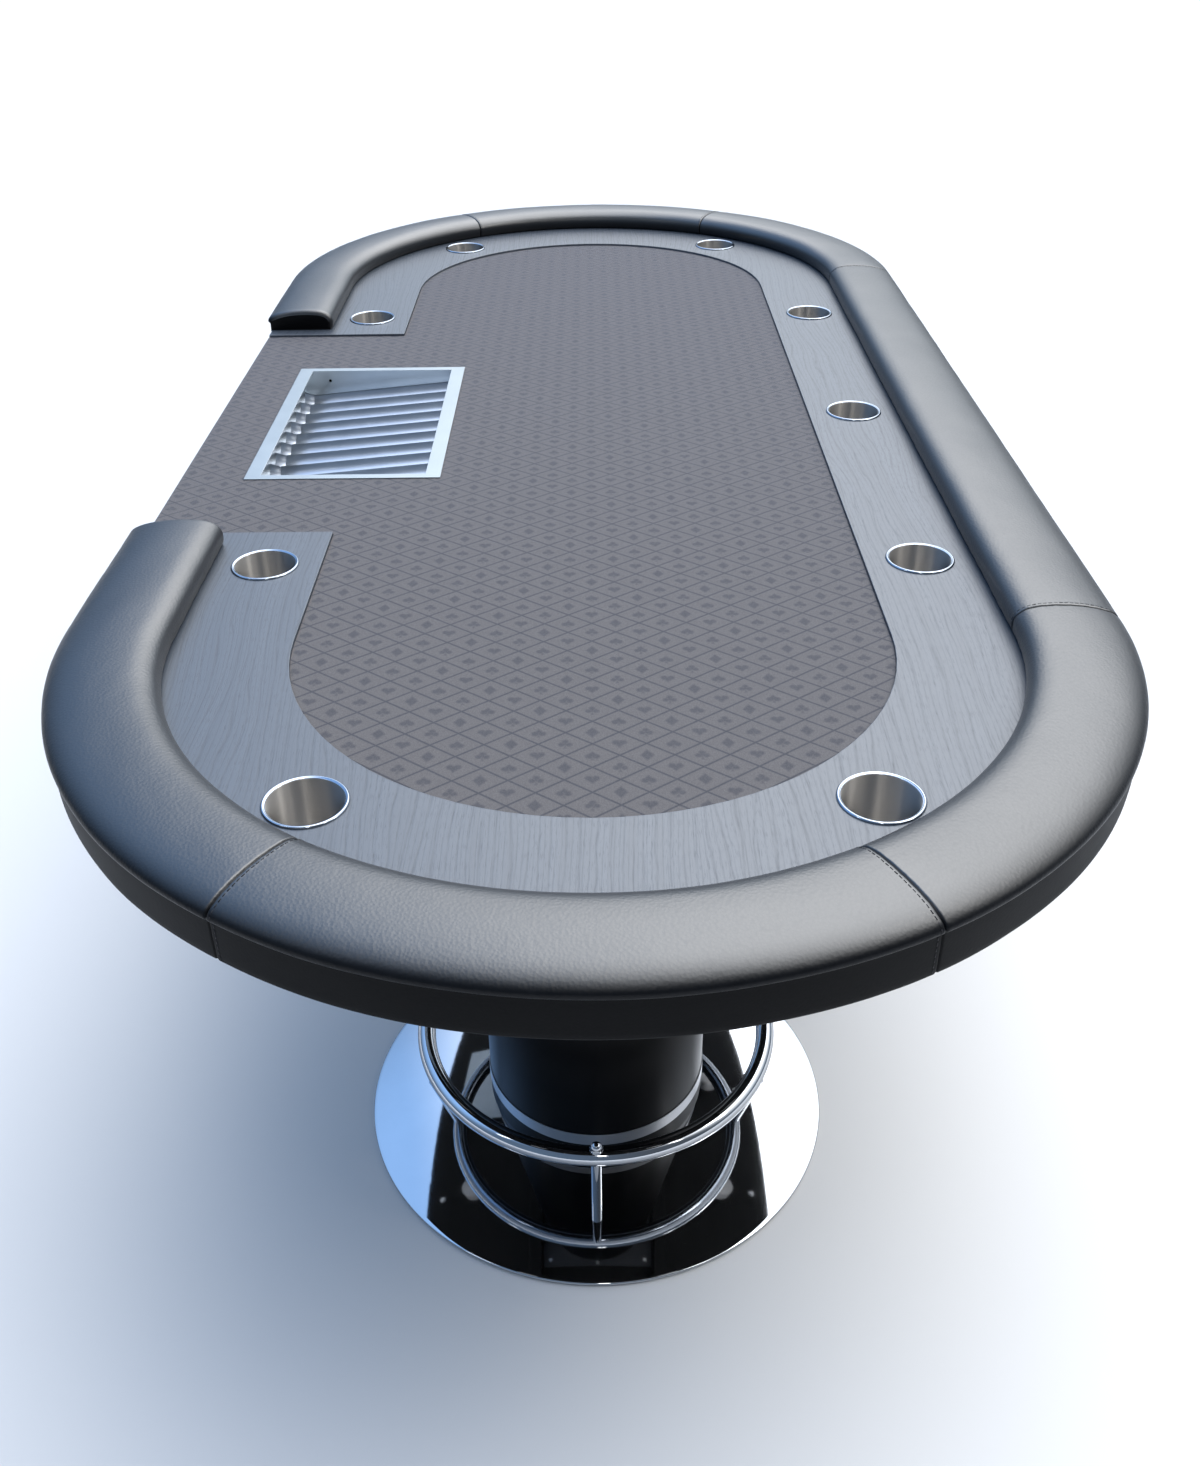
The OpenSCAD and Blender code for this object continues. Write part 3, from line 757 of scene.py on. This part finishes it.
# foam inside the covers
FOAM = [(r - nr * 0.0018, z - nz * 0.0018) for (r, z), (nr, nz) in zip(PILLOW, NORMALS)]
FOAM = FOAM[1:-3] + [(.5515, .0144), (.4512, .0144), (.4500, .0010)]
foam_nodes = sorted(x for x in NODES if x.startswith("rail_foam"))
ranges = {"rail_foam": (0, S5), "rail_foam_near_left": (0, S1 + LA / 2), "rail_foam_near_right": (S1 + LA / 2, S2),
          "rail_foam_long_side": (S2, S3), "rail_foam_far_right": (S3, S3 + LA / 2),
          "rail_foam_far_left": (S3 + LA / 2, S5)}
for name in foam_nodes:
    a, b = ranges[name]
    a, b = (a + 0.009 if a == 0 else a), (b - 0.009 if b == S5 else b)
    n = max(2, round((b - a) / 0.006))
    verts, faces, k = [], [], len(FOAM)
    for j in range(n + 1):
        s = a + (b - a) * j / n
        dip = 0.0034 * max([math.exp(-((s - q) / 0.012)**2) for _, q, _ in SEAMS])
        for r, z in FOAM:
            if z > 0.0016 and r < 0.5575 and not (abs(z - .0144) < 1e-6):
                r, z = r + (0.5015 - r) * dip / 0.055, z - dip * min(1.0, z / 0.03)
            verts.append(place(min(max(s, a + 1e-5), b - 1e-5), r, z))
    for j in range(n):
        for i in range(k):
            h = (i + 1) % k
            faces.append((j * k + i, j * k + h, (j + 1) * k + h, (j + 1) * k + i))
    faces.append(tuple(range(k)))
    faces.append(tuple(range(n * k, n * k + k)))
    o = make(name + "_pad", verts, faces, mats=(M["foam"],), slot="foam")
    sharp(o, 40)
    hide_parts(name)

# ---------------------------------------------------------------- cloth and its pad
TRAY_HOLE = (-0.4645, -0.206, 0.214)


def play_outline(inset, step=0.012):
    """Outline of the playing surface, counter-clockwise, with the dealer's side at x = -DECK_X."""
    r = TRACK_IN - inset
    g = GAP_TRACK - inset
    pts = []
    n = round(math.pi * r / step)
    for k in range(n + 1):                     # near rounded end
        a = math.pi + math.pi * k / n
        pts.append((r * math.cos(a), -END_Y + r * math.sin(a)))
    n = round(2 * END_Y / 0.03)
    for k in range(1, n):
        pts.append((r, -END_Y + 2 * END_Y * k / n))
    n = round(math.pi * r / step)
    for k in range(n + 1):
        a = math.pi * k / n
        pts.append((r * math.cos(a), END_Y + r * math.sin(a)))
    for k in range(1, 10):
        pts.append((-r, END_Y - (END_Y - g) * k / 10))
    pts.append((-r, g))
    for k in range(1, 9):
        pts.append((-r - (DECK_X - r) * k / 9, g))
    m = 26
    for k in range(m + 1):
        pts.append((-DECK_X, g - 2 * g * k / m))
    for k in range(1, 9):
        pts.append((-DECK_X + (DECK_X - r) * k / 9, -g))
    pts.append((-r, -g))
    for k in range(1, 10):
        pts.append((-r, -g - (END_Y - g) * k / 10))
    return pts


def inside(p, inset):
    x, y = p
    r, g = TRACK_IN - inset, GAP_TRACK - inset
    ok = (abs(y) <= END_Y and abs(x) < r) or math.hypot(x, abs(y) - END_Y) < r
    ok = ok or (-DECK_X < x <= 0 and abs(y) < g)
    if TRAY_HOLE[0] < x < TRAY_HOLE[1] and abs(y) < TRAY_HOLE[2]:
        ok = False
    return ok


def plate(inset, grid, step):
    """(points, triangles) of the playing surface with the tray's hole."""
    out = play_outline(inset, step)
    x0, x1, ty = TRAY_HOLE
    hole = []
    for k in range(12):
        hole.append((x0 + (x1 - x0) * k / 12, -ty))
    for k in range(18):
        hole.append((x1, -ty + 2 * ty * k / 18))
    for k in range(12):
        hole.append((x1 - (x1 - x0) * k / 12, ty))
    for k in range(18):
        hole.append((x0, ty - 2 * ty * k / 18))
    pts = out + hole
    edges = [(i, (i + 1) % len(out)) for i in range(len(out))]
    edges += [(len(out) + i, len(out) + (i + 1) % len(hole)) for i in range(len(hole))]
    y = -END_Y - TRACK_IN
    row = 0
    while y < END_Y + TRACK_IN:
        x = -DECK_X + (grid / 2 if row % 2 else 0)
        while x < TRACK_IN:
            if inside((x, y), inset + grid * 0.4) and not (
                    TRAY_HOLE[0] - grid * .4 < x < TRAY_HOLE[1] + grid * .4 and abs(y) < ty + grid * .4) \
                    and x > -DECK_X + grid * 0.4:
                pts.append((x, y))
            x += grid
        y += grid * 0.87
        row += 1
    co, _, tris, *_ = delaunay_2d_cdt([Vector(p) for p in pts], edges, [], 0, 1e-6)
    co = [tuple(c) for c in co]
    keep = []
    for t in tris:
        m = (sum(co[i][0] for i in t) / 3, sum(co[i][1] for i in t) / 3)
        if inside(m, inset):
            keep.append(tuple(t))
    return co, keep


def thick(name, top_fn, thickness, co, tris, extra=None, **kw):
    """A closed plate: top at top_fn(x, y), bottom thickness below. extra adds a turned-down hem."""
    n = len(co)
    verts = [(x, y, top_fn(x, y)) for x, y in co] + [(x, y, top_fn(x, y) - thickness) for x, y in co]
    faces = [tuple(t) for t in tris] + [tuple(n + i for i in reversed(t)) for t in tris]
    count = {}
    for t in tris:
        for k in range(3):
            e = (t[k], t[(k + 1) % 3])
            count[e] = 1
    hem = []
    for (p, q) in count:
        if (q, p) not in count:
            if extra and abs(co[p][0] + DECK_X) < 1e-4 and abs(co[q][0] + DECK_X) < 1e-4:
                hem.append((p, q))
            else:
                faces.append((p, n + p, n + q, q))
    if extra:
        cols = {}
        for e in hem:
            for p in e:
                if p in cols:
                    continue
                y = co[p][1]
                col = []
                for (ox, oz), (ix, iz) in extra:
                    w1 = 0.00025 * math.sin(y * 31) * min(1.0, abs(oz) / 0.01)
                    col.append((len(verts), len(verts) + 1))
                    verts.append((-DECK_X + ox - abs(w1), y, TOP - 0.0036 + oz))
                    verts.append((-DECK_X + ix, y, TOP - 0.0036 + iz))
                cols[p] = col
        for p, q in hem:
            prev = ((p, n + p), (q, n + q))
            for a, b in zip(cols[p], cols[q]):
                faces.append((prev[0][0], a[0], b[0], prev[1][0]))
                faces.append((prev[0][1], prev[1][1], b[1], a[1]))
                prev = (a, b)
            faces.append((prev[0][0], prev[0][1], prev[1][1], prev[1][0]))
        ends = [p for p in cols if abs(abs(co[p][1]) - (GAP_TRACK - 0.0004)) < 1e-4]
        for p in ends:
            prev = (p, n + p)
            for a in cols[p]:
                faces.append((prev[0], prev[1], a[1], a[0]))
                prev = a
    return make(name, verts, faces, **kw)


co, tris = plate(0.0004, 0.022, 0.009)


def cloth_top(x, y):
    z = 0.7584 + noise.noise(Vector((x * 7, y * 7, 1.3))) * 0.00018
    return z


HEM = []
for k in range(1, 7):
    a = k * math.pi / 12
    HEM.append(((-0.0014 * math.sin(a), -0.0014 * (1 - math.cos(a))), (-0.00002 * k, -0.0014 - 0.00004 * k)))
for z in (-.004, -.008, -.013, -.018, -.023, -.0258):
    HEM.append(((-0.0014, z), (-0.0001, z)))
cloth = thick("speed_cloth_sheet", cloth_top, 0.0013, co, tris, HEM, mats=(M["cloth"],), slot="cloth")
sharp(cloth, 50)
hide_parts("speed_cloth")

co2, tris2 = plate(0.0008, 0.05, 0.015)
pad = thick("playing_pad_foam", lambda x, y: 0.7569, 0.0068, co2, tris2, None, mats=(M["pad_foam"],), slot="pad_foam")
sharp(pad, 40)
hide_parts("playing_pad")

# ---------------------------------------------------------------- cups
RI, RO, RF, DEPTH = 0.0355, 0.0364, 0.040, 0.074
cupp = [(0.0, -DEPTH + .0014), (.012, -DEPTH + .0012)]
cupp += [(RI - .0085 + .0085 * math.sin(k * math.pi / 16), -DEPTH + .0094 - .0085 * math.cos(k * math.pi / 16)) for k in range(9)]
cupp += [(RI, -.050), (RI, -.035), (RI, -.020), (RI, -.008), (RI, -.0010)]
cupp += [(RI + .0012 - .0012 * math.cos(k * math.pi / 12), .0006 + .0011 * math.sin(k * math.pi / 12)) for k in range(7)]
cupp += [(.0372, .0022), (.0380, .0024), (.0387, .0022), (.0393, .0017), (.0398, .0010), (RF, .0004), (.0399, .0001), (.0393, .0)]
cupp += [(RO, -.0001), (RO, -.030), (RO, -.064)]
cupp += [(RO - .009 + .009 * math.cos(k * math.pi / 12), -.065 - .009 * math.sin(k * math.pi / 12)) for k in range(1, 7)]
cupp += [(0.0, -DEPTH)]
for name, (x, y) in CUPS.items():
    node = "cup_" + name
    o = lathe(node + "_turned", cupp, (x, y, TOP), 128, closed=True, mats=(M["cup_steel"], M["cup_flange"]),
              body=node + "_body", slot="cup_steel")
    fm = []
    for p in o.data.polygons:
        c = p.center
        r = math.hypot(c.x - x, c.y - y) if o.matrix_world.translation.length < 1e-9 else 0
        fm.append(1 if r > 0.0357 and c.z > TOP - 0.0005 else 0)
    o.data.polygons.foreach_set("material_index", fm)
    sharp(o, 50)
    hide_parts(node)

# ---------------------------------------------------------------- pedestals
H, R_DISC, RIM = 0.042, 0.310, 0.005
RD = ((R_DISC**2) + (H - RIM)**2) / (2 * (H - RIM))


def dome(r):
    return H - RD + math.sqrt(RD**2 - r * r)


for tag, y in (("near", -PED_Y), ("far", PED_Y)):
    prof = [(.135 + (R_DISC - .0012 - .135) * k / 48, dome(.135 + (R_DISC - .0012 - .135) * k / 48)) for k in range(49)]
    prof += [(R_DISC - .0005, dome(R_DISC) - .0001), (R_DISC, dome(R_DISC) - .0007), (R_DISC, .0024), (R_DISC - .0004, .0020),
             (R_DISC - .002, .0020), (R_DISC - .002, .0036)]
    prof += [(R_DISC - .004 - (R_DISC - .004 - .135) * k / 20, dome(R_DISC - .004 - (R_DISC - .004 - .135) * k / 20) - .0020) for k in range(21)]
    o = lathe("base_disc_%s_spun" % tag, prof, (0, y, 0), 256, mats=(M["chrome_disc"],), slot="chrome_disc")
    sharp(o, 40)
    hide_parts("base_disc_" + tag)
    prof = [(.145, dome(.145) - .0003), (.145, .20), (.145, .40), (.145, .60), (.145, .7235), (.1445, .724), (.142, .724),
            (.142, .5), (.142, .2), (.142, dome(.142))]
    o = lathe("column_%s_turned" % tag, prof, (0, y, 0), 192, mats=(M["column_black"],), slot="column_black")
    sharp(o, 40)
    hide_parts("column_" + tag)
    prof = [(.14505, .0612), (.1458, .061), (.1461, .0613), (.1461, .0797), (.1458, .080), (.14505, .0798)]
    o = lathe("column_band_%s_turned" % tag, prof, (0, y, 0), 192, mats=(M["band_steel"],), slot="band_steel")
    sharp(o, 40)
    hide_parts("column_band_" + tag)
    RR, RT, RZ = 0.227, 0.012, 0.138
    prof = [(RR + RT * math.cos(2 * math.pi * k / 40), RT * math.sin(2 * math.pi * k / 40)) for k in range(40)]
    o = lathe("foot_ring_%s_tube" % tag, prof, (0, y, RZ), 256, mats=(M["chrome_tube"],), slot="chrome_tube")
    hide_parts("foot_ring_" + tag)
    posts, nuts = [], []
    for k in range(4):
        a = k * math.pi / 2
        cx, cy = RR * math.cos(a), y + RR * math.sin(a)
        zf = dome(RR)
        pr = [(0.0, zf - .004), (.007, zf - .004), (.007, .06), (.007, .09), (.007, RZ), (.007, RZ + .0119), (0.0, RZ + .0119)]
        posts.append(lathe("foot_post_%s_%d" % (tag, k), pr, (cx, cy, 0), 40, mats=(M["chrome_tube"],), slot="chrome_tube"))
        sharp(posts[-1], 40)
        hexa = []
        for q in range(6):
            hexa.append((cx + .0085 * math.cos(math.pi / 3 * q), cy + .0085 * math.sin(math.pi / 3 * q)))
        nv = [(px_, py_, RZ + .0118) for px_, py_ in hexa] + [(px_, py_, RZ + .0172) for px_, py_ in hexa]
        nf = [tuple(range(5, -1, -1)), tuple(range(6, 12))] + [(q, (q + 1) % 6, 6 + (q + 1) % 6, 6 + q) for q in range(6)]
        h = make("acorn_hex_%s_%d" % (tag, k), nv, nf, smooth=False, mats=(M["chrome_tube"],), slot="chrome_tube")
        bv = h.modifiers.new("bevel", "BEVEL")
        bv.width, bv.segments = 0.0006, 2
        dm = [(0.0, .0235)] + [(.0068 * math.sin(t * math.pi / 16), .0168 + .0066 * math.cos(t * math.pi / 16)) for t in range(1, 9)]
        dm += [(.0068, .0165), (0.0, .0165)]
        d = lathe("acorn_dome_%s_%d" % (tag, k), dm, (cx, cy, RZ), 40, mats=(M["chrome_tube"],), slot="chrome_tube")
        sharp(d, 40)
        nuts += [h, d]
    for o in posts:
        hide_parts("foot_posts_" + tag)
    for o in nuts:
        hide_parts("acorn_nuts_" + tag)

# ---------------------------------------------------------------- floor, light, camera
scene = bpy.context.scene
fm = Mat("floor", base=(.68, .68, .68), rough=0.9, spec=0.0)
bpy.ops.mesh.primitive_plane_add(size=90, location=(0, 12, -0.0002))
floor = bpy.context.object
floor.name = "floor"
floor.data.materials.append(fm.m)

world = bpy.data.worlds.new("studio")
scene.world = world
world.use_nodes = True
wt = world.node_tree
bg = wt.nodes["Background"]
tc = wt.nodes.new("ShaderNodeTexCoord")
sep = wt.nodes.new("ShaderNodeSeparateXYZ")
wt.links.new(tc.outputs["Generated"], sep.inputs[0])
gx, gy, gz = [X(wt, sep.outputs[i]) for i in range(3)]


def smooth(x, lo, hi):
    n = wt.nodes.new("ShaderNodeMapRange")
    n.interpolation_type = "SMOOTHSTEP"
    wt.links.new(x.v, n.inputs["Value"])
    n.inputs["From Min"].default_value, n.inputs["From Max"].default_value = lo, hi
    return X(wt, n.outputs[0])


def wmix(fac, a, b):
    n = wt.nodes.new("ShaderNodeMix")
    n.data_type = "RGBA"
    wt.links.new(fac.v, n.inputs[0])
    for s, v in ((n.inputs[6], a), (n.inputs[7], b)):
        if isinstance(v, bpy.types.NodeSocket):
            wt.links.new(v, s)
        else:
            s.default_value = tuple(v) + (1.0,)
    return n.outputs[2]


# soft studio sky: pale blue on the left, a broad white box overhead and beyond the far end, dim behind the camera
side = smooth(gx, -0.43, 0.10)
rise = smooth(gz, 0.02, 0.74) * smooth(gy, -0.55, 0.10) * (1.0 - smooth(gx, 0.30, 0.85) * 0.6)
low_sky = wmix(smooth(gx, -0.6, 0.6), (.16, .24, .36), (.12, .14, .17))
box = wmix(side, (.50, .87, 1.52), wmix(smooth(gz, 0.14, 0.46), (3.4, 4.2, 5.0), (4.75, 4.85, 5.0)))
wt.links.new(wmix(rise, low_sky, box), bg.inputs[0])
bg.inputs[1].default_value = 1.0
world.cycles.sampling_method = "MANUAL"
world.cycles.sample_map_resolution = 512


def panel(name, loc, target, sx, sy, radiance, colour=(1, 1, 1)):
    """A soft box of the given size that shines with this radiance towards target."""
    ld = bpy.data.lights.new(name, "AREA")
    ld.shape = "RECTANGLE"
    ld.size, ld.size_y = sx, sy
    ld.energy = radiance * math.pi * sx * sy
    ld.color = colour
    o = bpy.data.objects.new(name, ld)
    scene.collection.objects.link(o)
    o.location = loc
    o.rotation_euler = (Vector(target) - Vector(loc)).to_track_quat("-Z", "Y").to_euler()
    return o


panel("key_box", (2.6, -0.6, 4.2), (0, 0, .7), 1.0, 1.0, 5.0, (1.0, .99, .97))
panel("strip_right", (2.9, -1.0, 3.3), (0, -0.1, .7), 0.30, 1.5, 9.0, (1.0, .98, .95))

# three weak soft strips behind the camera, for the upright streaks in brushed steel
for name, az, radiance in (("strip_near_right", 47, 5.0), ("strip_near", 3, 6.0), ("strip_near_left", -56, 3.5)):
    az = math.radians(az)
    panel(name, (2.6 * math.sin(az), -0.3 - 2.6 * math.cos(az), 3.4), (0, -0.3, .76), 0.24, 1.6, radiance, (1.0, .98, .95))

cam_d = bpy.data.cameras.new("camera")
cam = bpy.data.objects.new("camera", cam_d)
scene.collection.objects.link(cam)
scene.camera = cam
yaw, pitch, roll = -0.014937, 0.584553, -0.016244
fwd = Vector((math.sin(yaw) * math.cos(pitch), math.cos(yaw) * math.cos(pitch), -math.sin(pitch)))
rt = Vector((math.cos(yaw), -math.sin(yaw), 0))
up = rt.cross(fwd)
r2 = rt * math.cos(roll) + up * math.sin(roll)
u2 = up * math.cos(roll) - rt * math.sin(roll)
cam.matrix_world = Matrix(((r2.x, u2.x, -fwd.x, 0.00303), (r2.y, u2.y, -fwd.y, -1.94381),
                           (r2.z, u2.z, -fwd.z, 1.48644), (0, 0, 0, 1)))
cam_d.sensor_fit = "AUTO"
cam_d.sensor_width = 36.0
cam_d.lens = 33.747
cam_d.shift_x = 0.01476
cam_d.shift_y = 0.0
cam_d.clip_start, cam_d.clip_end = 0.05, 200

scene.view_settings.view_transform = "Standard"
scene.view_settings.look = "None"
scene.view_settings.exposure = 0.0
scene.view_settings.gamma = 1.0
